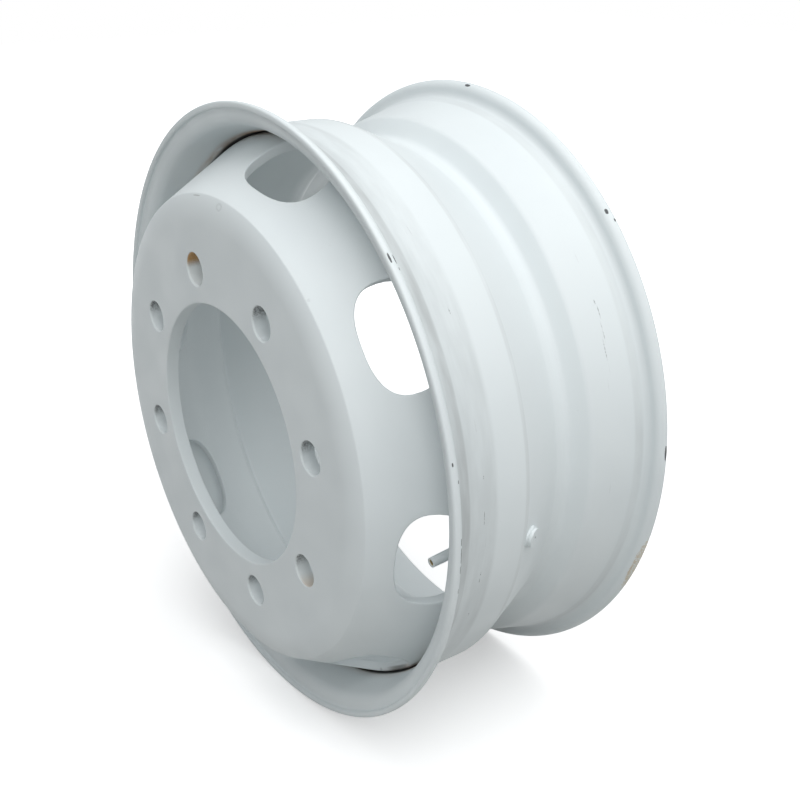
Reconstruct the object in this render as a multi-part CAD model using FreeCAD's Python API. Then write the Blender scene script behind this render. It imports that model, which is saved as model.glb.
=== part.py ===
# Steel disc wheel for a truck: drop-centre rim, bell-shaped disc, bent tyre valve.
# Frame: Y is the wheel's axis with the outboard side towards -Y, Z is up,
# and the origin is on the axis in the disc's inner face, which bolts to the hub.
import FreeCAD, Part
import math
import os

from FreeCAD import Vector

# Rim: 15 degree drop-centre section for a tubeless tyre
bead_diameter = 495.3
rim_width = 190.5
flange_height = 12.7
lip_width = 9.0
rim_wall = 5.2
bead_angle = 15.0
ledge_drop = 7.85
well_depth = 28.15
well_front = 26.0
well_rear = 37.0
crest_setback = 19.8
well_rear_rise = 47.5
lip_curl_radius = 6.5
root_radius = 6.5
seat_radius = 25.0
crest_radius = 7.0
well_radius_front = 14.0
well_radius_rear = 8.0
lip_edge_radius = 2.0
tightest_bend = 1.5

# Disc: flat hub face, sloping band, crease, cone with hand holes, cylindrical land in the rim
rim_offset = 128.0
hub_thickness = 12.0
skirt_wall = 8.0
skirt_angle = 28.1
crease_inset = 38.6
crease_drop = 5.7
crease_round = 2.5
band_tilt = 27.0
band_round = 43.0
inner_corner_round = 14.0
land_round = 25.0
land_setback = 8.2
edge_round = 1.0

# Bolt circle and hand holes
hole_count = 8
first_bolt_angle = 13.2
bolt_circle = 275.0
bolt_hole = 26.0
bore_web = 14.0
bolt_chamfer = 1.2
hand_hole_length = 51.5
hand_hole_width = 82.0
hand_hole_power = 2.4
hand_hole_depth = 39.8
hand_hole_edge = 1.5
oval_points = 24

# Weld between the disc's land and the rim
weld_leg = 6.0

# Tyre valve, clamped through the front slope of the well
valve_angle = -7.5
valve_along_slope = 9.0
valve_swivel = -7.0
valve_hole = 9.7
valve_spot_diameter = 21.0
valve_spot_depth = 0.4
grommet_diameter = 17.0
grommet_flange = 2.2
valve_head_diameter = 15.0
valve_head_height = 2.5
shank_diameter = 8.3
washer_diameter = 17.0
washer_thickness = 1.2
nut_across_flats = 14.0
nut_height = 6.0
shank_past_nut = 1.5
bend_radius = 11.0
stem_root_diameter = 9.6
stem_tip_diameter = 7.7
stem_run = 63.0
air_passage = 3.0
clearance = 0.1

# Valve core in the stem's mouth, depths measured from the tip
mouth_diameter = 5.3
mouth_depth = 11.0
core_inset = 1.0
core_head_length = 4.0
core_head_diameter = 5.1
barrel_diameter = 4.1
barrel_bore = 3.1
barrel_length = 10.0
barrel_floor = 2.0
pin_diameter = 1.2
pin_collar_diameter = 2.6
pin_collar_depth = 3.2
pin_collar_height = 0.6
cup_diameter = 2.8
cup_height = 1.4
seal_height = 0.6
gasket_length = 1.6
spring_wire = 0.35
spring_turns = 5
wire_sides = 8

bead_radius = bead_diameter / 2
flange_radius = bead_radius + flange_height
ledge_radius = bead_radius - ledge_drop
well_radius = bead_radius - well_depth
axis_y = Vector(0, 1, 0)


def rounded_path(corners):
    """Edges through (axial, radius, rounding) corners, with a tangent arc at each rounded one."""
    edges = []
    previous = Vector(corners[0][1], corners[0][0], 0)
    for before, corner, after in zip(corners, corners[1:], corners[2:]):
        at = Vector(corner[1], corner[0], 0)
        back = (Vector(before[1], before[0], 0) - at).normalize()
        ahead = (Vector(after[1], after[0], 0) - at).normalize()
        half_angle = back.getAngle(ahead) / 2
        reach = corner[2] / math.tan(half_angle)
        start = at + back * reach
        end = at + ahead * reach
        middle_way = (back + ahead).normalize()
        centre = at + middle_way * (corner[2] / math.sin(half_angle))
        edges.append(Part.LineSegment(previous, start).toShape())
        edges.append(Part.Arc(start, centre - middle_way * corner[2], end).toShape())
        previous = end
    last = Vector(corners[-1][1], corners[-1][0], 0)
    edges.append(Part.LineSegment(previous, last).toShape())
    return edges


def revolve_closed(corners):
    """Solid of revolution about the wheel's axis from a closed outline of rounded corners."""
    first = corners[0]
    last = corners[-1]
    half_way = ((first[0] + last[0]) / 2, (first[1] + last[1]) / 2, 0)
    wire = Part.Wire(rounded_path([half_way] + corners + [half_way]))
    return Part.Face(wire).revolve(Vector(0, 0, 0), axis_y, 360)


def offset_line(corners, distance):
    """Corners of the line that runs parallel to an open line, distance to its inner side."""
    directions = []
    for a, b in zip(corners, corners[1:]):
        length = math.hypot(b[0] - a[0], b[1] - a[1])
        directions.append(((b[0] - a[0]) / length, (b[1] - a[1]) / length))
    shifted = []
    for i, corner in enumerate(corners):
        d1 = directions[max(i - 1, 0)]
        d2 = directions[min(i, len(directions) - 1)]
        normal = (d1[1] + d2[1], -d1[0] - d2[0])
        scale = distance / (1 + d1[0] * d2[0] + d1[1] * d2[1])
        shifted.append((corner[0] + normal[0] * scale, corner[1] + normal[1] * scale))
    return shifted


def on_axis_cylinder(diameter, start, end):
    return Part.makeCylinder(diameter / 2, end - start, Vector(0, start, 0), axis_y)


def polar(radius, degrees, depth=0.0):
    """Point at a radius and angle about the wheel's axis, angle from +X towards +Z."""
    turn = math.radians(degrees)
    return Vector(radius * math.cos(turn), depth, radius * math.sin(turn))


# Section of the rim's tyre side, from the front lip to the rear lip
bead_slope = math.tan(math.radians(bead_angle))
front_face = rim_offset - rim_width / 2
rear_face = rim_offset + rim_width / 2
front_seat_end = front_face + (bead_radius - ledge_radius) / bead_slope
crest = rim_offset - crest_setback
well_rear_end = rim_offset + well_rear
rear_seat_start = rim_offset + well_rear_rise
rear_seat_radius = bead_radius - (rear_face - rear_seat_start) * bead_slope
tyre_side = [
    (front_face - lip_width, flange_radius, lip_edge_radius),
    (front_face, flange_radius, lip_curl_radius),
    (front_face, bead_radius, root_radius),
    (front_seat_end, ledge_radius, seat_radius),
    (crest, ledge_radius, crest_radius),
    (rim_offset + well_front, well_radius, well_radius_front),
    (well_rear_end, well_radius, well_radius_rear),
    (rear_seat_start, rear_seat_radius, crest_radius),
    (rear_face, bead_radius, root_radius),
    (rear_face, flange_radius, lip_curl_radius),
    (rear_face + lip_width, flange_radius, lip_edge_radius),
]


def turn_of(before, at, after):
    """Sense in which a line turns at a corner: positive towards its inner side."""
    return (at[1] - before[1]) * (after[0] - at[0]) - (at[0] - before[0]) * (after[1] - at[1])


# The inner side runs parallel, so each bend is tighter or wider by the wall
inner_side = []
inner_line = offset_line(tyre_side, rim_wall)
for i, corner in enumerate(inner_line):
    rounding = tyre_side[i][2]
    if 0 < i < len(inner_line) - 1:
        if turn_of(tyre_side[i - 1], tyre_side[i], tyre_side[i + 1]) > 0:
            rounding = max(rounding - rim_wall, tightest_bend)
        else:
            rounding = rounding + rim_wall
    inner_side.append((corner[0], corner[1], rounding))
rim = revolve_closed(tyre_side + inner_side[::-1])

# Disc: flat hub face, band up to the crease, cone and land, closed by the parallel inner side
land_radius = ledge_radius - rim_wall
land_end = crest - land_setback
crease_radius = land_radius - crease_inset
bore_radius = (bolt_circle - bolt_hole) / 2 - bore_web
skirt_slope = math.tan(math.radians(skirt_angle))
face_front = -hub_thickness
crease_depth = face_front + crease_drop
band_start = crease_radius - crease_drop / math.tan(math.radians(band_tilt))
cone_reach = crease_inset / skirt_slope
skirt_step = skirt_wall / math.cos(math.radians(skirt_angle))
inner_corner = crease_radius - crease_depth * skirt_slope - skirt_step
inner_land = land_radius - skirt_wall
inner_cone_end = (inner_land - inner_corner) / skirt_slope
disc = revolve_closed([
    (face_front, bore_radius, edge_round),
    (face_front, band_start, band_round),
    (crease_depth, crease_radius, crease_round),
    (crease_depth + cone_reach, land_radius, land_round),
    (land_end, land_radius, edge_round),
    (land_end, inner_land, edge_round),
    (inner_cone_end, inner_land, land_round + skirt_wall),
    (0, inner_corner, inner_corner_round),
    (0, bore_radius, edge_round),
])

# Bolt holes on their circle, countersunk a little on the nuts' side
pitch = 360.0 / hole_count
bolt_mouth = bolt_hole / 2 + bolt_chamfer
for k in range(hole_count):
    at = polar(bolt_circle / 2, first_bolt_angle + k * pitch, face_front)
    disc = disc.cut(Part.makeCylinder(bolt_hole / 2, hub_thickness, at, axis_y))
    disc = disc.cut(Part.makeCone(bolt_mouth, bolt_hole / 2, bolt_chamfer, at, axis_y))

# Hand holes: rounded ovals punched through the cone, half way between the bolts
oval = []
for step in range(oval_points):
    turn = 2 * math.pi * step / oval_points
    along = math.copysign(abs(math.cos(turn)) ** (2 / hand_hole_power), math.cos(turn))
    across = math.copysign(abs(math.sin(turn)) ** (2 / hand_hole_power), math.sin(turn))
    oval.append(Vector(0, hand_hole_depth + along * hand_hole_length / 2, across * hand_hole_width / 2))
oval_curve = Part.BSplineCurve()
oval_curve.interpolate(Points=oval, PeriodicFlag=True)
punch = Part.Face(Part.Wire(oval_curve.toShape())).extrude(Vector(flange_radius, 0, 0))
for k in range(hole_count):
    tool = punch.copy()
    tool.rotate(Vector(0, 0, 0), axis_y, -(first_bolt_angle + (k + 0.5) * pitch))
    disc = disc.cut(tool)
hole_edges = []
for edge in disc.Edges:
    middle = edge.valueAt((edge.FirstParameter + edge.LastParameter) / 2)
    if abs(middle.y - hand_hole_depth) <= hand_hole_length / 2 and edge.Curve.TypeId == "Part::GeomBSplineCurve":
        hole_edges.append(edge)
disc = disc.makeFillet(hand_hole_edge, hole_edges)

# Weld bead in the corner between the land's end and the rim
weld_face = Part.Face(Part.makePolygon([
    Vector(land_radius, land_end, 0),
    Vector(land_radius, land_end + weld_leg, 0),
    Vector(land_radius - weld_leg, land_end, 0),
    Vector(land_radius, land_end, 0),
]))
disc_weld = weld_face.revolve(Vector(0, 0, 0), axis_y, 360)

# Valve frame: Z along the hole towards the wheel's axis, X the way the stem runs outboard
well_start = rim_offset + well_front
slope_length = math.hypot(well_start - crest, ledge_radius - well_radius)
slope_axial = (well_start - crest) / slope_length
slope_radial = (ledge_radius - well_radius) / slope_length
valve_point = polar(
    ledge_radius - valve_along_slope * slope_radial, valve_angle, crest + valve_along_slope * slope_axial
)
outward = polar(1.0, valve_angle)
hole_inward = outward * -slope_axial - axis_y * slope_radial
along_slope = outward * slope_radial - axis_y * slope_axial
valve_frame = FreeCAD.Placement(
    valve_point,
    FreeCAD.Rotation(along_slope, hole_inward.cross(along_slope), hole_inward, "ZXY"),
)
valve_frame = valve_frame * FreeCAD.Placement(
    Vector(0, 0, 0), FreeCAD.Rotation(Vector(0, 0, 1), valve_swivel)
)
bend_angle = math.degrees(math.acos(slope_radial))


def rod(diameter, start, end):
    """Round bar on the valve hole's axis."""
    return Part.makeCylinder(diameter / 2, end - start, Vector(0, 0, start))


def placed(shape):
    """A valve piece moved from the valve's own frame to the wheel."""
    moved = shape.copy()
    moved.Placement = valve_frame
    return moved


# Hole for the valve, with a flat spot on each side of the rim's wall
spot_out = valve_spot_depth
spot_in = rim_wall - valve_spot_depth
spot_reach = rim_wall
rim = rim.cut(placed(rod(valve_hole, -spot_reach, rim_wall + spot_reach)))
rim = rim.cut(placed(rod(valve_spot_diameter, spot_out - spot_reach, spot_out)))
rim = rim.cut(placed(rod(valve_spot_diameter, spot_in, spot_in + spot_reach)))

# Rubber grommet: flange under the stem's head and a collar in the hole
head_seat = spot_out - grommet_flange
grommet = rod(grommet_diameter, head_seat, spot_out)
grommet = grommet.fuse(rod(valve_hole, spot_out, spot_in))
grommet = grommet.cut(rod(shank_diameter, head_seat, spot_in)).removeSplitter()

washer_end = spot_in + washer_thickness
nut_end = washer_end + nut_height
fit_bore = shank_diameter + 2 * clearance
washer = rod(washer_diameter, spot_in, washer_end).cut(rod(fit_bore, spot_in, washer_end))

# Hexagon nut with its corners turned off towards the free face
corner_radius = nut_across_flats / math.sqrt(3)
hexagon = [
    Vector(corner_radius * math.cos(k * math.pi / 3), corner_radius * math.sin(k * math.pi / 3), washer_end)
    for k in range(7)
]
nut = Part.Face(Part.makePolygon(hexagon)).extrude(Vector(0, 0, nut_height))
nut_taper = nut_height + corner_radius - nut_across_flats / 2
nut = nut.common(Part.makeCone(nut_across_flats / 2 + nut_taper, nut_across_flats / 2, nut_taper,
                               Vector(0, 0, nut_end - nut_taper)))
nut = nut.cut(rod(fit_bore, washer_end, nut_end))

# Stem: head and shank, a bend, then a tapered run to the mouth
bend_start = nut_end + shank_past_nut
bend_centre = Vector(bend_radius, 0, bend_start)
turn_axis = Vector(0, 1, 0)
run_way = Vector(math.sin(math.radians(bend_angle)), 0, math.cos(math.radians(bend_angle)))
run_start = bend_centre + Vector(
    -bend_radius * math.cos(math.radians(bend_angle)), 0, bend_radius * math.sin(math.radians(bend_angle))
)
tip = run_start + run_way * stem_run


def bent_bar(diameter):
    """Bar round the stem's bend, from the shank to the start of the run."""
    section = Part.Face(Part.Wire(Part.makeCircle(diameter / 2, Vector(0, 0, bend_start), Vector(0, 0, 1))))
    return section.revolve(bend_centre, turn_axis, bend_angle)


def from_tip(diameter, start, end):
    """Round bar on the run's axis, between two depths below the tip."""
    return Part.makeCylinder(diameter / 2, end - start, tip - run_way * start, -run_way)


def cone_from_tip(first, last, start, end):
    return Part.makeCone(first / 2, last / 2, end - start, tip - run_way * start, -run_way)


stem = rod(valve_head_diameter, head_seat - valve_head_height, head_seat)
stem = stem.fuse(rod(shank_diameter, head_seat, bend_start))
stem = stem.fuse(bent_bar(shank_diameter))
stem = stem.fuse(cone_from_tip(stem_tip_diameter, stem_root_diameter, 0, stem_run))
seat_end = mouth_depth + (mouth_diameter - air_passage) / 2
passage = rod(air_passage, head_seat - valve_head_height, bend_start)
passage = passage.fuse(bent_bar(air_passage))
passage = passage.fuse(from_tip(air_passage, mouth_depth, stem_run))
passage = passage.fuse(from_tip(mouth_diameter, 0, mouth_depth))
passage = passage.fuse(cone_from_tip(mouth_diameter, air_passage, mouth_depth, seat_end))
stem = stem.cut(passage).removeSplitter()

# Core barrel: threaded head, hollow body with a floor that guides the pin and seats the seal
head_end = core_inset + core_head_length
barrel_end = core_inset + barrel_length
barrel_inside = barrel_end - barrel_floor
pin_fit = pin_diameter + 2 * clearance
barrel = from_tip(core_head_diameter, core_inset, head_end)
barrel = barrel.fuse(from_tip(barrel_diameter, head_end, barrel_end))
barrel = barrel.cut(from_tip(barrel_bore, core_inset, barrel_inside))
barrel = barrel.cut(from_tip(pin_fit, barrel_inside, barrel_end)).removeSplitter()

gasket = from_tip(mouth_diameter, head_end, head_end + gasket_length)
gasket = gasket.cut(from_tip(barrel_diameter, head_end, head_end + gasket_length))

# Pin: collar under the head for the spring, and a cup below the barrel that carries the seal
cup_start = barrel_end + seal_height
pin = from_tip(pin_diameter, core_inset, cup_start + cup_height)
pin = pin.fuse(from_tip(pin_collar_diameter, pin_collar_depth, pin_collar_depth + pin_collar_height))
pin = pin.fuse(from_tip(cup_diameter, cup_start, cup_start + cup_height)).removeSplitter()
seal = from_tip(cup_diameter, barrel_end, cup_start).cut(from_tip(pin_diameter, barrel_end, cup_start))

# Spring between the pin's collar and the barrel's floor
spring_top = pin_collar_depth + pin_collar_height
spring_length = barrel_inside - spring_top - spring_wire
spring_radius = (barrel_bore - 2 * clearance - spring_wire) / 2
helix = Part.makeHelix(spring_length / spring_turns, spring_length, spring_radius)
wire_section = []
for k in range(wire_sides + 1):
    turn = 2 * math.pi * k / wire_sides
    wire_section.append(Vector(spring_radius + spring_wire / 2 * math.cos(turn), 0, spring_wire / 2 * math.sin(turn)))
coil = Part.Wire(helix).makePipeShell([Part.makePolygon(wire_section)], True, True)
coil.Placement = valve_frame * FreeCAD.Placement(
    tip - run_way * (spring_top + spring_wire / 2), FreeCAD.Rotation(Vector(0, 0, 1), -run_way)
)

pieces = {
    "rim": rim,
    "disc": disc,
    "disc_weld": disc_weld,
    "valve_stem": placed(stem),
    "valve_grommet": placed(grommet),
    "valve_washer": placed(washer),
    "valve_nut": placed(nut),
    "core_barrel": placed(barrel),
    "core_gasket": placed(gasket),
    "core_pin": placed(pin),
    "core_seal": placed(seal),
    "core_spring": coil,
}

os.makedirs("parts", exist_ok=True)
for name, shape in pieces.items():
    shape.exportStep("parts/" + name + ".step")
    box = shape.BoundBox
    print(name, "valid", shape.isValid(), "solids", len(shape.Solids), "volume", round(shape.Volume, 2),
          "box", [round(v, 1) for v in (box.XMin, box.YMin, box.ZMin, box.XMax, box.YMax, box.ZMax)])
pin_way = valve_frame.Rotation.multVec(-run_way)
print("pin way", [round(v, 5) for v in pin_way], "tip", [round(v, 2) for v in valve_frame.multVec(tip)])
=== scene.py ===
import math

import bmesh
import bpy
import numpy as np
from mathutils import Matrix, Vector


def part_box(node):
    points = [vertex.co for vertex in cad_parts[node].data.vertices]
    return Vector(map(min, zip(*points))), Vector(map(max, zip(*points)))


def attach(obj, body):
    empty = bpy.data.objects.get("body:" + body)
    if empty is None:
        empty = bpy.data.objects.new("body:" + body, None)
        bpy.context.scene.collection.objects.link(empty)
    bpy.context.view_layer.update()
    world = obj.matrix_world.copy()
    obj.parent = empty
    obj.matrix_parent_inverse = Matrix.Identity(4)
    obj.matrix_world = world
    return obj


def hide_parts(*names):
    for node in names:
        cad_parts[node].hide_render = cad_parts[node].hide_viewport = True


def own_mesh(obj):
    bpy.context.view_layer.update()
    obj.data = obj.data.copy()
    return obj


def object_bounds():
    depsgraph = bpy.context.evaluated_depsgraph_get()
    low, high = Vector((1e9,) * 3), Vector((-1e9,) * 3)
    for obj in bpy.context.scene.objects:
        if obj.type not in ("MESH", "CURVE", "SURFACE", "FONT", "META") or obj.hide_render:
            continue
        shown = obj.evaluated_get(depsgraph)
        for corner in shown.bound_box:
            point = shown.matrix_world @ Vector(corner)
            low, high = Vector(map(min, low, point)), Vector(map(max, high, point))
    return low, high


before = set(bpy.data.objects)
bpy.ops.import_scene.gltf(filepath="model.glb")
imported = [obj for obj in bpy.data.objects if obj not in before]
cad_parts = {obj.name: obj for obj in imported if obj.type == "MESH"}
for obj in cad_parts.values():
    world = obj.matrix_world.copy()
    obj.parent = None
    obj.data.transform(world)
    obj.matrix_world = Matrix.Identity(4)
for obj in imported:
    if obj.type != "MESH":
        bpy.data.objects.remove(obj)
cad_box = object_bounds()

# Rim: a rolled steel ring with a drop centre between two tyre flanges, sprayed off-white.
# The strip is rolled to its section, closed with a flush butt weld and sized on a die.
mm = 0.001
rim_low, rim_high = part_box("rim")
flange_radius = float(rim_high[2])
front_lip = float(rim_low[1])
rear_lip = float(rim_high[1])
lip_width = 9.0 * mm
front_face = front_lip + lip_width
rear_face = rear_lip - lip_width
rim_middle = (front_face + rear_face) / 2
bead_radius = flange_radius - 12.7 * mm
ledge_radius = 239.8 * mm
well_radius = bead_radius - 28.15 * mm
rim_wall = 5.2 * mm
bead_slope = math.tan(math.radians(15.0))
crest = rim_middle - 19.8 * mm
well_front = rim_middle + 26.0 * mm
well_rear = rim_middle + 37.0 * mm
rear_seat_start = rim_middle + 47.5 * mm
rear_seat_radius = bead_radius - (rear_face - rear_seat_start) * bead_slope
turn_steps = 224


def rounded_outline(corners, step, closed=True):
    """Points along an outline: straight runs joined by tangent arcs. Each arc's centre lies on the corner's
    bisector, at the rounding over the sine of half the angle. An open outline keeps its two end points."""
    arc_step = 0.35 * step
    here = np.array([c[:2] for c in corners])
    rounding = np.array([c[2] for c in corners])
    back = np.roll(here, 1, axis=0) - here
    ahead = np.roll(here, -1, axis=0) - here
    back /= np.linalg.norm(back, axis=1)[:, None]
    ahead /= np.linalg.norm(ahead, axis=1)[:, None]
    half = np.where(rounding > 0, np.arccos(np.clip((back * ahead).sum(1), -1, 1)) / 2, 1.0)
    reach = (rounding / np.tan(half))[:, None]
    bisector = back + ahead
    bisector /= np.maximum(np.linalg.norm(bisector, axis=1), 1e-9)[:, None]
    centre = here + bisector * (rounding / np.sin(half))[:, None]
    starts = here + back * reach
    ends = here + ahead * reach
    rows = []
    for i in range(len(corners)):
        if rounding[i] > 0:
            a, b = starts[i] - centre[i], ends[i] - centre[i]
            first = math.atan2(a[1], a[0])
            sweep = (math.atan2(b[1], b[0]) - first + math.pi) % (2 * math.pi) - math.pi
            count = max(4, int(abs(sweep) * rounding[i] / arc_step))
            angles = first + sweep * np.linspace(0, 1, count + 1)
            rows.append(centre[i] + rounding[i] * np.stack([np.cos(angles), np.sin(angles)], -1))
        else:
            rows.append(here[i:i + 1])
        if closed or i + 1 < len(corners):
            following = starts[(i + 1) % len(corners)]
            run = np.linalg.norm(following - ends[i])
            share = np.linspace(0, 1, max(1, int(run / step)) + 1)[1:-1, None]
            rows.append(ends[i] + (following - ends[i]) * share)
    return np.vstack(rows)


def parallel_outline(corners, wall):
    """Corners of the line parallel to an open line, wall to its inner side. A bend towards the inner
    side gets tighter by the wall, down to the tightest bend, and the others get wider by it."""
    tightest = 1.5 * mm
    here = np.array([c[:2] for c in corners])
    along = np.diff(here, axis=0)
    along /= np.linalg.norm(along, axis=1)[:, None]
    before = np.vstack([along[:1], along])
    after = np.vstack([along, along[-1:]])
    normal = np.stack([(before + after)[:, 1], -(before + after)[:, 0]], -1)
    moved = here + normal * (wall / (1 + (before * after).sum(1)))[:, None]
    turn = before[:, 1] * after[:, 0] - before[:, 0] * after[:, 1]
    rounding = np.array([c[2] for c in corners])
    bent = np.where(turn > 0, np.maximum(rounding - wall, tightest), rounding + wall)
    bent[[0, -1]] = rounding[[0, -1]]
    return [(p[0], p[1], r) for p, r in zip(moved, bent)]


def turned(outline, closed=True):
    """Surface of revolution about Y: each (depth, radius) of the outline goes round the wheel's axis,
    x and z being the radius times the cosine and sine of the angle."""
    angle = np.radians(first_bolt_angle) + np.arange(turn_steps) * 2 * np.pi / turn_steps
    depth, radius = outline[:, :1], outline[:, 1:]
    points = np.stack(np.broadcast_arrays(radius * np.cos(angle), depth, radius * np.sin(angle)), -1)
    return points, closed, True


def grid_faces(rows, columns, row_closed, column_closed):
    """Quads of a grid of points, joined end to start where a direction is closed."""
    r = np.arange(rows if row_closed else rows - 1)[:, None]
    c = np.arange(columns if column_closed else columns - 1)[None, :]
    r2, c2 = (r + 1) % rows, (c + 1) % columns
    quads = [r * columns + c, r * columns + c2, r2 * columns + c2, r2 * columns + c]
    return np.stack(quads, -1).reshape(-1, 4)


def surface_piece(name, patches, sharp=35.0):
    """One closed mesh from patches of grid points, welded where they meet and smooth up to the angle
    sharp, in degrees."""
    welding_gap = 0.02 * mm
    points, faces, start = [], [], 0
    for grid, row_closed, column_closed in patches:
        points.append(grid.reshape(-1, 3))
        faces.append(grid_faces(grid.shape[0], grid.shape[1], row_closed, column_closed) + start)
        start += grid.shape[0] * grid.shape[1]
    mesh = bpy.data.meshes.new(name)
    mesh.from_pydata(np.vstack(points).tolist(), [], np.vstack(faces).tolist())
    shell = bmesh.new()
    shell.from_mesh(mesh)
    bmesh.ops.remove_doubles(shell, verts=shell.verts, dist=welding_gap)
    bmesh.ops.recalc_face_normals(shell, faces=shell.faces)
    shell.to_mesh(mesh)
    shell.free()
    mesh.shade_smooth()
    mesh.set_sharp_from_angle(angle=math.radians(sharp))
    piece = bpy.data.objects.new(name, mesh)
    bpy.context.collection.objects.link(piece)
    return piece


first_bolt_angle = 13.2
tyre_side = [
    (front_lip, flange_radius, 2.0 * mm),
    (front_face, flange_radius, 6.5 * mm),
    (front_face, bead_radius, 6.5 * mm),
    (front_face + (bead_radius - ledge_radius) / bead_slope, ledge_radius, 25.0 * mm),
    (crest, ledge_radius, 7.0 * mm),
    (well_front, well_radius, 14.0 * mm),
    (well_rear, well_radius, 8.0 * mm),
    (rear_seat_start, rear_seat_radius, 7.0 * mm),
    (rear_face, bead_radius, 6.5 * mm),
    (rear_face, flange_radius, 6.5 * mm),
    (rear_lip, flange_radius, 2.0 * mm),
]
rim_step = 3.0 * mm
rim_outline = rounded_outline(tyre_side + parallel_outline(tyre_side, rim_wall)[::-1], rim_step)
rim = surface_piece("rolled_rim", [turned(rim_outline)])
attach(rim, "wheel")
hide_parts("rim")

paint_colour = (0.735, 0.785, 0.795, 1.0)
cloud_colour = (0.685, 0.735, 0.75, 1.0)
dust_colour = (0.45, 0.46, 0.46, 1.0)


class Paint:
    """Node tree of one sprayed surface, with the wheel's own coordinates: angle, depth and radius."""

    def __init__(self, name):
        self.material = bpy.data.materials.new(name)
        self.material.use_nodes = True
        self.tree = self.material.node_tree
        self.shader = self.tree.nodes["Principled BSDF"]
        self.place = self.node("ShaderNodeTexCoord").outputs["Object"]
        parts = self.node("ShaderNodeSeparateXYZ", {0: self.place})
        x, self.depth, z = parts.outputs
        self.angle = self.maths("ARCTAN2", z, x)
        self.radius = self.maths("SQRT", self.squares(x, z))
        self.frayed = self.noise(self.place, 800.0, 2.0)

    def node(self, kind, inputs=None, **settings):
        made = self.tree.nodes.new(kind)
        for key, value in settings.items():
            setattr(made, key, value)
        for key, value in (inputs or {}).items():
            self.feed(made.inputs[key], value)
        return made

    def feed(self, socket, value):
        if isinstance(value, bpy.types.NodeSocket):
            self.tree.links.new(value, socket)
        else:
            socket.default_value = value

    def maths(self, operation, *values):
        made = self.node("ShaderNodeMath", operation=operation)
        for socket, value in zip(made.inputs, values):
            self.feed(socket, value)
        return made.outputs[0]

    def squares(self, first, second):
        """Sum of the squares of two values."""
        return self.maths("ADD", self.maths("POWER", first, 2.0), self.maths("POWER", second, 2.0))

    def noise(self, vector, scale, detail=3.0, roughness=0.5):
        made = self.node("ShaderNodeTexNoise", {"Vector": vector, "Scale": scale, "Detail": detail,
                                                "Roughness": roughness})
        return made.outputs["Fac"]

    def span(self, value, low, high, to_low=0.0, to_high=1.0):
        """Value mapped smoothly and clamped from low..high to to_low..to_high."""
        made = self.node("ShaderNodeMapRange", {"Value": value, "From Min": low, "From Max": high,
                                                "To Min": to_low, "To Max": to_high},
                         interpolation_type="SMOOTHSTEP")
        return made.outputs["Result"]

    def mix(self, share, first, second):
        made = self.node("ShaderNodeMix", data_type="RGBA")
        for socket, value in ((made.inputs[0], share), (made.inputs[6], first), (made.inputs[7], second)):
            self.feed(socket, value)
        return made.outputs[2]

    def band(self, value, low, high, soft):
        """One between low and high, falling to zero over soft at each end."""
        rise = self.span(value, low - soft, low)
        fall = self.span(value, high, high + soft, 1.0, 0.0)
        return self.maths("MULTIPLY", rise, fall)

    def spot(self, angle, reach, across, at, length, width, ragged=0.5):
        """One inside a ragged ellipse: length round the wheel at the radius reach, width along across."""
        turn = self.maths("SUBTRACT", self.angle, math.radians(angle))
        around = self.maths("MULTIPLY", turn, 2 * reach / length)
        aside = self.maths("MULTIPLY", self.maths("SUBTRACT", across, at), 2 / width)
        limit = self.maths("MULTIPLY_ADD", self.frayed, 2 * ragged, 1 - ragged)
        return self.span(self.maths("SUBTRACT", limit, self.squares(around, aside)), -0.1, 0.25)

    def near_side(self):
        """One on the part of the seam that is rusty and darkened with painted shade, at the top, the right
        and below, and zero on the left: the cosine of the turn from the rust's middle."""
        rust_middle = math.radians(25.0)
        turn = self.maths("SUBTRACT", self.angle, rust_middle)
        return self.span(self.maths("COSINE", turn), -0.7, -0.4)

    def all_of(self, masks):
        """Product of the masks."""
        total = masks[0]
        for mask in masks[1:]:
            total = self.maths("MULTIPLY", total, mask)
        return total

    def any_of(self, masks):
        """Largest of the masks."""
        total = masks[0]
        for mask in masks[1:]:
            total = self.maths("MAXIMUM", total, mask)
        return total

    def finish(self, colour, roughness, bump_height, bump_strength=0.25, bump_reach=0.4 * mm):
        """Material with the given colour and roughness, and a bump of the given height."""
        self.feed(self.shader.inputs["Base Color"], colour)
        self.feed(self.shader.inputs["Roughness"], roughness)
        bump = self.node("ShaderNodeBump", {"Height": bump_height, "Strength": bump_strength,
                                            "Distance": bump_reach})
        self.feed(self.shader.inputs["Normal"], bump.outputs["Normal"])
        return self.material

    def sprayed(self):
        """Colour, roughness and height of the bare sprayed coat: cloudy film, dust, faint bands left round
        the wheel by rolling, and orange peel."""
        cloud = self.noise(self.place, 7.0, 4.0, 0.55)
        colour = self.mix(self.span(cloud, 0.35, 0.7, 0.0, 0.6), paint_colour, cloud_colour)
        dust = self.span(self.noise(self.place, 520.0, 2.0), 0.70, 0.78, 0.0, 0.12)
        colour = self.mix(dust, colour, dust_colour)
        rough = self.span(self.noise(self.place, 38.0, 3.0), 0.3, 0.7, 0.5, 0.62)
        peel = self.noise(self.place, 420.0, 2.0, 0.4)
        rolled = self.noise(self.drawn_out(0.9, 46.0), 1.0, 2.0)
        height = self.maths("ADD", self.scaled(peel, 0.1), self.scaled(rolled, 0.5))
        return colour, rough, height

    def drawn_out(self, along, across):
        """Place drawn out round the wheel: the angle times along, and depth and radius times across."""
        around = self.maths("MULTIPLY", self.angle, along)
        deep = self.maths("MULTIPLY", self.depth, across)
        out = self.maths("MULTIPLY", self.radius, across)
        return self.node("ShaderNodeCombineXYZ", {0: around, 1: deep, 2: out}).outputs[0]

    def streaks(self, along, across):
        """Fine noise drawn out round the wheel."""
        return self.noise(self.drawn_out(along, across), 1.0, 3.0, 0.6)

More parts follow.
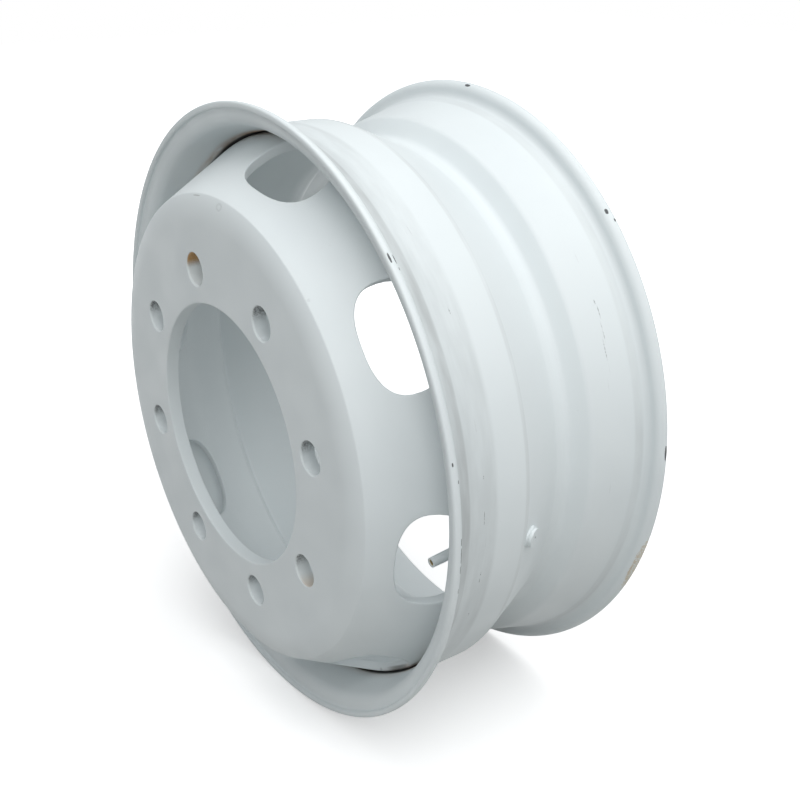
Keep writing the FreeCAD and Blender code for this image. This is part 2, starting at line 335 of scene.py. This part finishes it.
    def scaled(self, mask, share):
        return self.maths("MULTIPLY", mask, share)


def mark_tyre_side():
    """Attribute that is one on the tyre's side of the rim and zero inside: a point counts as outside when its
    radius is over the section's, at its depth, less half the wall."""
    count = len(rim.data.vertices)
    points = np.empty(count * 3)
    rim.data.vertices.foreach_get("co", points)
    points = points.reshape(-1, 3)
    section = rounded_outline([(*c[:2], 0.0 if i in (0, len(tyre_side) - 1) else c[2])
                               for i, c in enumerate(tyre_side)], rim_step, closed=False)
    below_flanges = section[:, 1] < bead_radius + 2 * mm
    section = section[below_flanges]
    limit = np.interp(points[:, 1], section[:, 0], section[:, 1]) - rim_wall / 2
    side = (np.hypot(points[:, 0], points[:, 2]) > limit).astype(np.float32)
    layer = rim.data.attributes.new("tyre_side", "FLOAT", "POINT")
    layer.data.foreach_set("value", side)


chip_colour = (0.055, 0.057, 0.06, 1.0)
rust_colour = (0.34, 0.16, 0.045, 1.0)
seat_band_colour = (0.50, 0.535, 0.54, 1.0)
dirt_and_shade_colour = (0.20, 0.205, 0.20, 1.0)
stain_colour = (0.46, 0.31, 0.12, 1.0)
seam_shade_colour = (0.02, 0.018, 0.016, 1.0)
# Chips on the lips: angle in degrees, then depth, length round the wheel and width in millimetres
lip_chips = [
    (45.2, 26.0, 8.0, 1.8), (45.0, 30.3, 7.0, 1.8), (43.4, 30.6, 2.6, 1.4), (13.7, 26.1, 3.0, 1.4),
    (10.8, 30.0, 3.0, 1.3), (1.0, 30.2, 6.0, 1.4), (-1.4, 30.4, 14.0, 1.6), (-3.9, 30.3, 8.0, 1.4),
    (-8.0, 30.2, 5.0, 1.3), (87.0, 226.0, 7.0, 2.2), (45.9, 226.8, 5.0, 2.4), (44.0, 229.5, 3.0, 1.5),
    (3.4, 229.8, 13.0, 2.2), (116.0, 228.0, 6.0, 2.2),
]
# Specks and scratches on the bead seats, in the same order
seat_specks = [
    (0.7, 66.2, 11.0, 0.6), (8.3, 66.3, 3.0, 0.6), (-11.0, 68.1, 4.0, 0.7), (-12.6, 68.3, 5.0, 0.7),
    (-21.4, 67.6, 3.0, 0.8), (36.6, 69.0, 5.0, 0.7), (32.1, 197.4, 4.0, 1.1), (30.2, 198.2, 12.0, 0.5),
    (27.0, 197.1, 14.0, 0.45), (23.4, 195.4, 16.0, 0.45),
]


def rim_paint():
    """Sprayed coat of the rim: scuffed bead seats, chips on the lips, dirt and painted shade in the flange
    root, painted shade lines, rust and painted shade at the disc.
    """
    coat = Paint("rim_paint")
    colour, rough, height = coat.sprayed()
    outside = coat.node("ShaderNodeAttribute", attribute_name="tyre_side").outputs["Fac"]
    inside = coat.maths("SUBTRACT", 1.0, outside)

    fine = coat.streaks(9.0, 1500.0)
    broad = coat.streaks(3.0, 60.0)

    def tint_ring(low, high, soft, share, tint):
        """Tint a ring of the tyre's side, between two depths in millimetres, as unevenly as the streaks."""
        nonlocal colour
        ring = coat.band(coat.depth, low * mm, high * mm, soft * mm)
        uneven = coat.span(broad, 0.25, 0.75, 0.4 * share, 1.6 * share)
        colour = coat.mix(coat.all_of([ring, outside, uneven]), colour, tint)

    # A greyer, streaky band over the front bead seat.
    tint_ring(44.0, 76.0, 5.0, 0.32, seat_band_colour)
    # Darker ring in the front flange's root: dirt, and painted shade in the root's concave corner.
    tint_ring(40.0, 49.5, 2.5, 0.22, dirt_and_shade_colour)
    # Thin dark line across the front ledge: painted shade of a crease.
    tint_ring(106.3, 108.3, 1.6, 0.13, dirt_and_shade_colour)
    # Faint dark line on the rear seat before its flange: painted shade.
    tint_ring(213.5, 218.0, 2.5, 0.1, dirt_and_shade_colour)
    scratches = coat.span(fine, 0.66, 0.74)
    seats = coat.maths("ADD", coat.band(coat.depth, 50.0 * mm, 72.0 * mm, 8.0 * mm),
                       coat.band(coat.depth, 194.5 * mm, 198.5 * mm, 3.0 * mm))
    patchy = coat.span(coat.noise(coat.place, 16.0, 3.0), 0.46, 0.64)
    scratches = coat.all_of([scratches, seats, patchy, outside])
    colour = coat.mix(coat.scaled(scratches, 0.5), colour, dirt_and_shade_colour)

    def scattered(spots, reach):
        return coat.any_of([coat.spot(angle, reach, coat.depth, depth * mm, length * mm, width * mm)
                            for angle, depth, length, width in spots])

    specks = scattered(seat_specks, ledge_radius)
    specks = coat.maths("MULTIPLY", specks, coat.span(coat.frayed, 0.4, 0.6, 0.15, 1.0))
    colour = coat.mix(coat.maths("MULTIPLY", specks, coat.scaled(outside, 0.75)), colour, chip_colour)
    lip_top = coat.span(coat.radius, bead_radius + 8.5 * mm, bead_radius + 9.5 * mm)
    chips = coat.maths("MULTIPLY", scattered(lip_chips, flange_radius), lip_top)
    colour = coat.mix(coat.scaled(chips, 0.92), colour, chip_colour)
    stain = coat.spot(-21.0, flange_radius, coat.depth, 229.0 * mm, 60.0 * mm, 8.0 * mm, ragged=0.9)
    broken = coat.span(coat.frayed, 0.38, 0.62, 0.15, 1.0)
    stain = coat.all_of([stain, lip_top, coat.scaled(broken, 0.65)])
    colour = coat.mix(stain, colour, stain_colour)

    seam_start = coat.span(coat.depth, 52.0 * mm, 62.0 * mm)
    seam_end = coat.span(coat.depth, 84.0 * mm, 90.0 * mm, 1.0, 0.0)
    seam = coat.all_of([seam_start, inside, seam_end, coat.near_side()])
    rusty = coat.maths("MULTIPLY", seam, coat.span(broad, 0.42, 0.6, 0.15, 0.8))
    colour = coat.mix(rusty, colour, rust_colour)
    # Near black in the gap between rim and disc: painted shade.
    painted_seam_shade = coat.maths("MULTIPLY", coat.span(coat.depth, 59.5 * mm, 63.5 * mm), seam)
    colour = coat.mix(coat.scaled(painted_seam_shade, 0.96), colour, seam_shade_colour)
    bare = coat.any_of([chips, specks])
    rough = coat.maths("ADD", rough, coat.scaled(bare, 0.25))
    return coat.finish(colour, rough, height)


mark_tyre_side()
rim.data.materials.append(rim_paint())

# Disc: pressed from thick plate and spun to a bell, with a flat hub face, bolt holes and a centre bore.
# Oval hand holes are punched through its cone, and its land is pressed into the rim and welded.
disc_low, disc_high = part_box("disc")
face_front = float(disc_low[1])
land_end = float(disc_high[1])
land_radius = ledge_radius - rim_wall
skirt_wall = 8.0 * mm
skirt_angle = math.radians(28.1)
skirt_slope = math.tan(skirt_angle)
crease_radius = land_radius - 38.6 * mm
crease_drop = 5.7 * mm
crease_depth = face_front + crease_drop
crease_round = 2.5 * mm
band_start = crease_radius - crease_drop / math.tan(math.radians(27.0))
band_round = 43.0 * mm
inner_corner_round = 14.0 * mm
land_round = 25.0 * mm
bore_radius = 110.5 * mm
bolt_circle = 137.5 * mm
bolt_radius = 13.0 * mm
bolt_chamfer = 1.2 * mm
hole_count = 8
hole_length = 51.5 * mm
hole_width = 82.0 * mm
hole_power = 2.4
hole_depth = 39.8 * mm
hole_edge = 1.5 * mm
inner_corner = crease_radius - crease_depth * skirt_slope - skirt_wall / math.cos(skirt_angle)
inner_land = land_radius - skirt_wall


def bell_radius(depth, foot_depth, foot_radius, land, bend):
    """Radius of one side of the bell at a depth: the cone from its foot, the arc into the land, the land."""
    bend_end = foot_depth + (land - foot_radius) / skirt_slope + bend * math.tan(skirt_angle / 2)
    bend_arc = land - bend + np.sqrt(np.maximum(bend ** 2 - (bend_end - depth) ** 2, 0))
    cone = foot_radius + (depth - foot_depth) * skirt_slope
    radius = np.where(depth > bend_end - bend * math.sin(skirt_angle), bend_arc, cone)
    return np.where(depth > bend_end, land, radius)


def outer_bell(depth):
    return bell_radius(depth, crease_depth, crease_radius, land_radius, land_round)


def inner_bell(depth):
    return bell_radius(depth, 0.0, inner_corner, inner_land, land_round + skirt_wall)


cell_steps = turn_steps // hole_count
cell_half = math.pi / hole_count
cell_low, cell_high = 8.0 * mm, 73.0 * mm
bolt_low, bolt_high = 119.0 * mm, 156.0 * mm
side_steps = 12


def cell_border(low, high):
    """Border of one cell, counter-clockwise: its first coordinate between low and high, its angle within
    the cell. The angle steps are those of the turned strips, so that the cell meets them point to point."""
    across = np.linspace(-cell_half, cell_half, cell_steps + 1)
    along = np.linspace(low, high, side_steps + 1)
    first = np.concatenate([np.full(cell_steps, low), along[:-1], np.full(cell_steps, high), along[:0:-1]])
    angle = np.concatenate([across[:-1], np.full(side_steps, cell_half), across[:0:-1],
                            np.full(side_steps, -cell_half)])
    return first, angle


def round_hand_hole(centre):
    """Wall of one hand hole with the skirt around it. In its oval, the two shares of the half sizes, each
    raised to the hole's power, add up to one. It is carried from the outer cell border, over a rounded
    edge, through the plate and back out to the inner cell border."""
    edge_steps, skirt_rows = 6, 10
    depth, angle = cell_border(cell_low, cell_high)
    turn = np.arctan2(angle / cell_half, (depth - hole_depth) / ((cell_high - cell_low) / 2))
    a = np.sign(np.cos(turn)) * np.abs(np.cos(turn)) ** (2 / hole_power)
    b = np.sign(np.sin(turn)) * np.abs(np.sin(turn)) ** (2 / hole_power)
    arc = np.linspace(0, np.pi / 2, edge_steps)
    grow = hole_edge * (1 - np.sin(arc))[:, None]
    sink = hole_edge * (1 - np.cos(arc))[:, None]
    ring_depth = hole_depth + a * (hole_length / 2 + grow)
    ring_across = b * (hole_width / 2 + grow)
    outer_reach = np.sqrt(outer_bell(ring_depth) ** 2 - ring_across ** 2) - sink
    inner_reach = np.sqrt(inner_bell(ring_depth) ** 2 - ring_across ** 2) + sink
    share = np.linspace(0, 1, skirt_rows + 1)[:-1, None]
    edge_angle = np.arctan2(ring_across[0], outer_reach[0])
    outer_depth = depth + (ring_depth[0] - depth) * share
    outer_angle = angle + (edge_angle - angle) * share
    inner_edge_angle = np.arctan2(ring_across[0], inner_reach[0])
    inner_depth = depth + (ring_depth[0] - depth) * share[::-1]
    inner_angle = angle + (inner_edge_angle - angle) * share[::-1]

    def on_bell(bell, at_depth, at_angle):
        radius = bell(at_depth)
        turned_to = centre + at_angle
        return np.stack([radius * np.cos(turned_to), at_depth, radius * np.sin(turned_to)], -1)

    def on_wall(at_depth, across, reach):
        return np.stack([reach * math.cos(centre) - across * math.sin(centre), at_depth,
                         reach * math.sin(centre) + across * math.cos(centre)], -1)

    rows = np.concatenate([
        on_bell(outer_bell, outer_depth, outer_angle),
        on_wall(ring_depth, ring_across, outer_reach),
        on_wall(ring_depth[::-1], ring_across[::-1], inner_reach[::-1]),
        on_bell(inner_bell, inner_depth, inner_angle),
    ])
    return rows, False, True


def round_bolt_hole(centre):
    """Wall of one bolt hole with the hub face around it: a circle carried from the outer cell border,
    over a chamfer, through the plate and out to the inner cell border."""
    face_rows = 8
    radius, angle = cell_border(bolt_low, bolt_high)
    turn = np.arctan2(angle / cell_half, (radius - bolt_circle) / ((bolt_high - bolt_low) / 2))
    border = np.stack([radius * np.cos(angle), radius * np.sin(angle)], -1)
    circle = np.stack([np.cos(turn), np.sin(turn)], -1)
    middle = np.array([bolt_circle, 0.0])
    share = np.linspace(0, 1, face_rows + 1)[:-1, None, None]
    mouth = middle + circle * (bolt_radius + bolt_chamfer)
    wall = middle + circle * bolt_radius
    face = border + (mouth - border) * share
    back = border + (wall - border) * share
    flat = np.concatenate([face, [mouth, wall, wall], back[::-1]])
    level = np.concatenate([np.full(len(face) + 1, face_front), [face_front + bolt_chamfer],
                            np.zeros(len(back) + 1)])
    level = np.broadcast_to(level[:, None], flat.shape[:2])
    x = flat[..., 0] * math.cos(centre) - flat[..., 1] * math.sin(centre)
    z = flat[..., 0] * math.sin(centre) + flat[..., 1] * math.cos(centre)
    return np.stack([x, level, z], -1), False, True


first_bolt = math.radians(first_bolt_angle)


def arc_points(centre, radius, first, last, count):
    """Points (depth, radius) on an arc, angles counted from the depth direction towards the radius."""
    angle = np.radians(np.linspace(first, last, count))
    return np.stack([centre[0] + radius * np.cos(angle), centre[1] + radius * np.sin(angle)], -1)


def bell_strip(bell, first, last, count):
    depth = np.linspace(first, last, count)
    return np.stack([depth, bell(depth)], -1)


edge = 1.0 * mm
outer_step, inner_step = 2.5 * mm, 3.0 * mm
outer_corner = rounded_outline([
    (face_front, bolt_high, 0.0),
    (face_front, band_start, band_round),
    (crease_depth, crease_radius, crease_round),
    (cell_low, float(outer_bell(cell_low)), 0.0),
], outer_step, closed=False)
inner_corner_run = rounded_outline([
    (0.0, bolt_high, 0.0),
    (0.0, inner_corner, inner_corner_round),
    (cell_low, float(inner_bell(cell_low)), 0.0),
], inner_step, closed=False)
land = np.concatenate([
    bell_strip(outer_bell, cell_high, land_end - edge, 12),
    arc_points((land_end - edge, land_radius - edge), edge, 90.0, 0.0, 5)[1:],
    arc_points((land_end - edge, inner_land + edge), edge, 0.0, -90.0, 5),
    bell_strip(inner_bell, land_end - edge, cell_high, 12)[1:],
])
bore_face = np.linspace(bolt_low, bore_radius + edge, 5)
bore = np.concatenate([
    np.stack([np.full(5, face_front), bore_face], -1),
    arc_points((face_front + edge, bore_radius + edge), edge, 180.0, 270.0, 5)[1:],
    arc_points((-edge, bore_radius + edge), edge, 270.0, 360.0, 5),
    np.stack([np.zeros(5), bore_face[::-1]], -1)[1:],
])
patches = [turned(strip, closed=False) for strip in (outer_corner, inner_corner_run, land, bore)]
patches += [round_bolt_hole(first_bolt + k * 2 * cell_half) for k in range(hole_count)]
patches += [round_hand_hole(first_bolt + (k + 0.5) * 2 * cell_half) for k in range(hole_count)]
disc = surface_piece("bell_disc", patches)
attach(disc, "wheel")
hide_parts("disc")

grime_and_shade_colour = (0.12, 0.122, 0.125, 1.0)
hole_rust_colour = (0.46, 0.24, 0.05, 1.0)
hole_stain_colour = (0.46, 0.27, 0.09, 1.0)


def disc_paint():
    """Sprayed coat of the disc: thin and rusty where the land meets the rim, with painted shade in the seam
    there, and grime with painted shade on the upper walls of the bolt holes.
    """
    coat = Paint("disc_paint")
    colour, rough, height = coat.sprayed()
    broad = coat.streaks(3.0, 60.0)
    skin = coat.span(coat.radius, land_radius - 6.0 * mm, land_radius - 4.0 * mm)
    skin = coat.maths("MULTIPLY", skin, coat.near_side())
    seam = coat.maths("MULTIPLY", coat.span(coat.depth, 60.0 * mm, 66.0 * mm), skin)
    rusty = coat.maths("MULTIPLY", seam, coat.span(broad, 0.42, 0.6, 0.1, 0.6))
    colour = coat.mix(rusty, colour, rust_colour)
    # Near black where the land enters the rim: painted shade in the gap, with a thin darker line just in
    # front.
    painted_seam_shade = coat.maths("MULTIPLY", coat.span(coat.depth, 63.5 * mm, 67.0 * mm, 0.0, 0.97), skin)
    colour = coat.mix(painted_seam_shade, colour, seam_shade_colour)
    line = coat.maths("MULTIPLY", coat.band(coat.depth, 61.6 * mm, 62.0 * mm, 0.4 * mm), skin)
    colour = coat.mix(coat.scaled(line, 0.3), colour, dirt_and_shade_colour)

    from_bolt = coat.maths("WRAP", coat.maths("SUBTRACT", coat.angle, first_bolt), cell_half, -cell_half)
    bolt_at = coat.maths("SUBTRACT", coat.angle, from_bolt)
    reach = coat.maths("MULTIPLY", coat.radius, coat.maths("COSINE", from_bolt))
    out = coat.maths("SUBTRACT", reach, bolt_circle)
    aside = coat.maths("MULTIPLY", coat.radius, coat.maths("SINE", from_bolt))
    away = coat.maths("SQRT", coat.squares(out, aside))
    in_hole = coat.span(away, bolt_radius + 0.2 * mm, bolt_radius + 1.0 * mm, 1.0, 0.0)
    plate = coat.span(coat.depth, 1.0 * mm, 2.0 * mm, 1.0, 0.0)
    in_hole = coat.maths("MULTIPLY", in_hole, plate)
    # Upper walls of the bolt holes darker: streaky grime, and painted shade where the walls face down.
    height_at = coat.maths("MULTIPLY", coat.radius, coat.maths("SINE", coat.angle))
    bolt_height = coat.maths("MULTIPLY", coat.maths("SINE", bolt_at), bolt_circle)
    above = coat.maths("SUBTRACT", height_at, bolt_height)
    streaky_grime_and_shade = coat.span(coat.noise(coat.place, 700.0, 3.0), 0.36, 0.62, 0.4, 1.0)
    grime_and_shade = coat.all_of([coat.span(above, -4.0 * mm, 8.0 * mm), streaky_grime_and_shade, in_hole])
    colour = coat.mix(coat.scaled(grime_and_shade, 0.9), colour, grime_and_shade_colour)

    def in_bolt_hole(turn):
        """One in the bolt hole that lies turn degrees past the first one."""
        off = coat.maths("SUBTRACT", bolt_at, math.radians(first_bolt_angle + turn))
        this_hole = coat.span(coat.maths("ABSOLUTE", off), 0.2, 0.3, 1.0, 0.0)
        return coat.maths("MULTIPLY", this_hole, in_hole)

    rusted = coat.maths("MULTIPLY", in_bolt_hole(90.0), coat.span(above, -2.0 * mm, 6.0 * mm))
    colour = coat.mix(coat.scaled(rusted, 0.85), colour, hole_rust_colour)
    stained = coat.maths("MULTIPLY", in_bolt_hole(-45.0), coat.span(out, -6.0 * mm, 8.0 * mm))
    colour = coat.mix(coat.scaled(stained, 0.4), colour, hole_stain_colour)

    on_corner = coat.band(coat.depth, face_front, crease_depth + 2 * mm, 1.0 * mm)
    knock_angle, knock_reach, knock_radius = 86.0, 190.5 * mm, 190.8 * mm
    whole = coat.spot(knock_angle, knock_reach, coat.radius, knock_radius, 9.0 * mm, 6.0 * mm, ragged=0.3)
    middle = coat.spot(knock_angle, knock_reach, coat.radius, knock_radius, 4.5 * mm, 3.0 * mm, ragged=0.3)
    knock = coat.maths("SUBTRACT", whole, middle)
    nick = coat.spot(48.8, crease_radius, coat.radius, 197.2 * mm, 2.6 * mm, 1.8 * mm)
    dents = coat.maths("MULTIPLY", coat.any_of([knock, nick]), on_corner)
    tick = coat.spot(97.6, 194.0 * mm, coat.radius, 194.2 * mm, 12.0 * mm, 0.9 * mm)
    tick = coat.maths("MULTIPLY", tick, on_corner)
    colour = coat.mix(coat.scaled(tick, 0.45), colour, dirt_and_shade_colour)
    colour = coat.mix(coat.scaled(dents, 0.12), colour, dirt_and_shade_colour)
    height = coat.maths("SUBTRACT", height, coat.scaled(dents, 1.6))
    return coat.finish(colour, rough, height)


disc.data.materials.append(disc_paint())

# Weld: one bead laid in the corner between the disc's land and the rim, painted over.
# The pool froze in small ripples as the torch went round.
weld_low, weld_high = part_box("disc_weld")
weld_leg = float(weld_high[1] - weld_low[1])
ripple_pitch = 3.2 * mm
ripple_height = 0.35 * mm
ripple_bend = 2.2
bead_bulge = 0.6 * mm
bead_steps = 960
bead_rows = 9
slant = 0.707


def weld_bead():
    """Fillet section carried round the land's end: a triangle's long side bulged by the sine of its share,
    with ripples whose phase bends with the share, as the pool's edge does."""
    angle = np.arange(bead_steps)[None, :] * 2 * np.pi / bead_steps
    share = np.linspace(0, 1, bead_rows)[:, None]
    ripples = np.round(2 * np.pi * land_radius / ripple_pitch)
    wave = np.sin(ripples * angle + ripple_bend * np.sin(np.pi * share)) * ripple_height
    bulge = (bead_bulge + wave) * np.sin(np.pi * share) * slant

    def carried(depth, radius):
        return np.stack(np.broadcast_arrays(radius * np.cos(angle), depth, radius * np.sin(angle)), -1)

    front = carried(weld_low[1] + weld_leg * (1 - share) + bulge, land_radius - weld_leg * share - bulge)
    root = carried(weld_low[1], land_radius)
    return np.concatenate([front, root]), True, True


weld = surface_piece("weld_bead", [weld_bead()], sharp=70.0)
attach(weld, "wheel")
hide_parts("disc_weld")


def plain_coat(name):
    """The sprayed coat alone, without marks."""
    coat = Paint(name)
    return coat.finish(*coat.sprayed())


weld.data.materials.append(plain_coat("weld_paint"))

# Valve: a bent brass stem clamped through the rim by a washer and a nut on a rubber grommet.
# Stem, washer, nut and grommet were sprayed with the wheel, and the stem's mouth is open.


def dress(node, material):
    """Give a carried-over CAD node its finish."""
    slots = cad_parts[node].data.materials
    slots.clear()
    slots.append(material)


valve_coat = plain_coat("valve_paint")
for node in ("valve_stem", "valve_washer", "valve_nut", "valve_grommet"):
    dress(node, valve_coat)

# Valve core: brass barrel and pin, a rubber seal and a sealing ring, screwed into the stem's mouth.
# The pin opens the valve when it is pushed in against its spring.


def bare_finish(name, colour, second, roughness, metallic, scale):
    """Finish of a small bare piece: two tones in fine noise, with a slight grain."""
    bare = Paint(name)
    bare.shader.inputs["Metallic"].default_value = metallic
    cloud = bare.noise(bare.place, scale, 3.0)
    tone = bare.mix(bare.span(cloud, 0.35, 0.65), colour, second)
    rough = bare.span(cloud, 0.3, 0.7, roughness - 0.06, roughness + 0.08)
    grain = bare.noise(bare.place, scale * 3, 2.0)
    return bare.finish(tone, rough, grain, bump_strength=0.1, bump_reach=0.05 * mm)


brass = bare_finish("core_brass", (0.62, 0.45, 0.18, 1), (0.45, 0.31, 0.13, 1),
                    roughness=0.32, metallic=1.0, scale=1400.0)
rubber = bare_finish("core_rubber", (0.035, 0.034, 0.033, 1), (0.06, 0.058, 0.055, 1),
                     roughness=0.7, metallic=0.0, scale=900.0)
sealing_ring = bare_finish("core_ring", (0.78, 0.77, 0.73, 1), (0.68, 0.67, 0.62, 1),
                           roughness=0.45, metallic=0.0, scale=1400.0)
for node in ("core_barrel", "core_pin"):
    dress(node, brass)
dress("core_seal", rubber)
dress("core_gasket", sealing_ring)

# Core spring: round wire wound between the pin's collar and the barrel's floor.
# On the real core it shortens as the pin goes in; here it is wound once and carried with the wheel.
pin_way = np.array([0.01728, 0.99377, 0.1101])
stem_tip = np.array([214.2, 38.34, -36.08]) * mm
coil_start = 3.8 * mm
coil_end = 9.0 * mm
coil_radius = 1.275 * mm
coil_turns = 5
steps_per_turn = 36
wire_radius = 0.175 * mm
wire_sides = 12


def wound_wire():
    """Tube along a helix: its centre line goes round the pin at the coil's radius while it moves along the
    pin, and a circle of the wire's radius stands across it, closed to a point at both ends."""
    across = np.cross(pin_way, [0.0, 0.0, 1.0])
    across /= np.linalg.norm(across)
    aside = np.cross(pin_way, across)
    sweep = np.linspace(0, 2 * np.pi * coil_turns, coil_turns * steps_per_turn + 1)
    sweep = np.concatenate([sweep[:1], sweep, sweep[-1:]])
    thick = np.full(len(sweep), wire_radius)
    thick[[0, -1]] = 0.0
    out = np.cos(sweep)[:, None] * across + np.sin(sweep)[:, None] * aside
    along = coil_start + wire_radius + (coil_end - coil_start - 2 * wire_radius) * sweep / sweep[-1]
    centre = stem_tip + pin_way * along[:, None] + out * coil_radius
    turn = np.linspace(0, 2 * np.pi, wire_sides, endpoint=False)[None, :, None]
    ring = np.cos(turn) * out[:, None, :] + np.sin(turn) * pin_way
    return centre[:, None, :] + ring * thick[:, None, None], False, True


coil = surface_piece("coiled_wire", [wound_wire()])
coil.data.materials.append(bare_finish("spring_wire", (0.56, 0.55, 0.53, 1), (0.42, 0.41, 0.40, 1),
                                       roughness=0.3, metallic=1.0, scale=1400.0))
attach(coil, "wheel")
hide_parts("core_spring")
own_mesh(coil)

# Floor and backdrop: a pale sheet laid under the wheel, white to the camera.
# The light that it returns to the wheel is softer, and its own glow fades towards the wheel.
floor_level = float(cad_box[0][2])
floor_half = 6.0
corners = [(-floor_half, -floor_half, floor_level), (floor_half, -floor_half, floor_level),
           (floor_half, floor_half, floor_level), (-floor_half, floor_half, floor_level)]
floor_mesh = bpy.data.meshes.new("floor")
floor_mesh.from_pydata(corners, [], [(0, 1, 2, 3)])
floor = bpy.data.objects.new("floor", floor_mesh)
bpy.context.collection.objects.link(floor)
sheet = Paint("floor_sheet")
ray = sheet.node("ShaderNodeLightPath")
shown = sheet.any_of([ray.outputs[f"Is {kind} Ray"] for kind in ("Camera", "Glossy", "Transmission")])
grain = sheet.span(sheet.noise(sheet.place, 3.0, 3.0), 0.3, 0.7, 0.0, 0.05)
pale = sheet.mix(grain, (0.98, 0.98, 0.98, 1), (0.94, 0.94, 0.94, 1))
sheet.feed(sheet.shader.inputs["Base Color"], sheet.mix(shown, (0.36, 0.36, 0.35, 1), pale))
sheet.shader.inputs["Roughness"].default_value = 0.9
sheet.shader.inputs["Specular IOR Level"].default_value = 0.0
sheet.shader.inputs["Emission Color"].default_value = (1, 1, 1, 1)
from_wheel = sheet.maths("SQRT", sheet.squares(sheet.radius, sheet.depth))
glow = sheet.span(from_wheel, 0.45, 1.6, 0.34, 1.0)
sheet.feed(sheet.shader.inputs["Emission Strength"], sheet.maths("MULTIPLY", shown, glow))
floor.data.materials.append(sheet.material)

# Light: an even pale sky that the camera sees as white, and three broad soft lamps.
# The lamps stand above the wheel, on the camera's side and on its right.
world = bpy.data.worlds.new("studio")
bpy.context.scene.world = world
world.use_nodes = True
sky = world.node_tree.nodes
links = world.node_tree.links
sky_light = sky["Background"]
sky_light.inputs["Color"].default_value = (0.955, 0.98, 1.0, 1.0)
sky_light.inputs["Strength"].default_value = 0.42
sky_shown = sky.new("ShaderNodeBackground")
sky_shown.inputs["Color"].default_value = (1, 1, 1, 1)
sky_shown.inputs["Strength"].default_value = 1.0
sky_ray = sky.new("ShaderNodeLightPath")
sky_pick = sky.new("ShaderNodeMixShader")
links.new(sky_ray.outputs["Is Camera Ray"], sky_pick.inputs["Fac"])
links.new(sky_light.outputs["Background"], sky_pick.inputs[1])
links.new(sky_shown.outputs["Background"], sky_pick.inputs[2])
links.new(sky_pick.outputs["Shader"], sky["World Output"].inputs["Surface"])


lit_point = (0.0, 0.1, 0.0)


def soft_lamp(name, place, size, power):
    """Square soft box at a place, turned towards the lit point."""
    lamp = bpy.data.lights.new(name, "AREA")
    lamp.shape = "SQUARE"
    lamp.size = size
    lamp.energy = power
    stand = bpy.data.objects.new(name, lamp)
    bpy.context.collection.objects.link(stand)
    stand.location = place
    way = np.array(lit_point) - np.array(place)
    tilt = math.acos(-way[2] / np.linalg.norm(way))
    stand.rotation_euler = (tilt, 0.0, math.atan2(way[1], way[0]) - math.pi / 2)


soft_lamp("overhead", (0.3, 0.25, 2.5), size=2.4, power=36.0)
soft_lamp("camera_side", (1.5, -1.0, 1.5), size=1.6, power=17.0)
soft_lamp("right_side", (1.9, 0.9, 1.6), size=1.6, power=10.0)

# Camera: at the photograph's viewing angle and distance.
# The lens is shifted to place the wheel as the photograph frames it.
camera = bpy.data.objects.new("camera", bpy.data.cameras.new("camera"))
bpy.context.collection.objects.link(camera)
bpy.context.scene.camera = camera
azimuth, elevation = math.radians(53.557), math.radians(27.263)
camera.location = (0.76814, -0.3855, 0.38234)
camera.rotation_euler = (math.pi / 2 - elevation, 0.0, azimuth)
camera.data.sensor_width = 36.0
camera.data.lens = 50.14
camera.data.shift_x = -0.01828
camera.data.shift_y = 0.11351
bpy.context.scene.view_settings.view_transform = "Standard"
